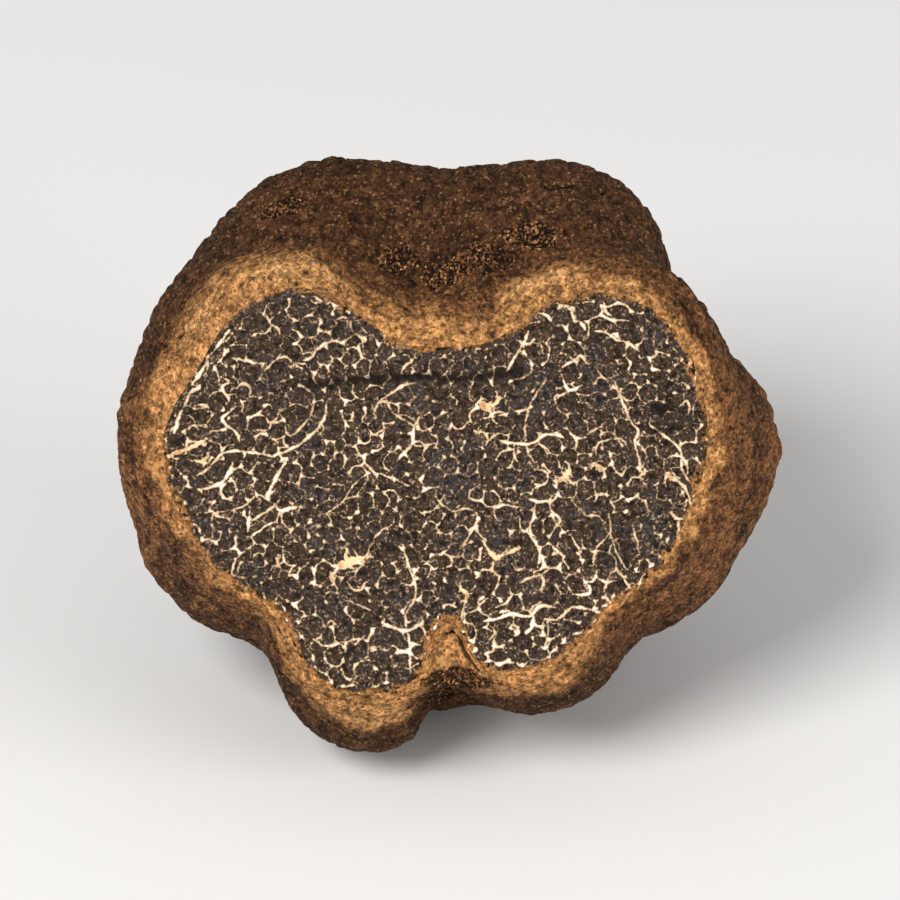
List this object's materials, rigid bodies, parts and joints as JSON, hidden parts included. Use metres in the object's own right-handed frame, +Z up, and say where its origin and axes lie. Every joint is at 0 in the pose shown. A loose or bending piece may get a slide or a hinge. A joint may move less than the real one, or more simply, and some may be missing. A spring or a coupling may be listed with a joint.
{
  "type": "black truffle, cut",
  "caption": "Lobed, warty black truffle with a slice taken off its front, showing dark flesh marbled with pale veins; rests on a small flat spot.",
  "frame": {"origin": "middle of the flat spot that the truffle rests on, on the surface", "axes": "+X across the cut face, to the right as it is looked at; -Y the side that the cut face is on; +Z up, out of the surface"},
  "size_m": [0.0607, 0.0482, 0.0493],
  "materials": {
    "skin": "matte",
    "flesh": "satin"
  },
  "bodies": {
    "root": {"truffle": "skin"}
  },
  "joints": []
}
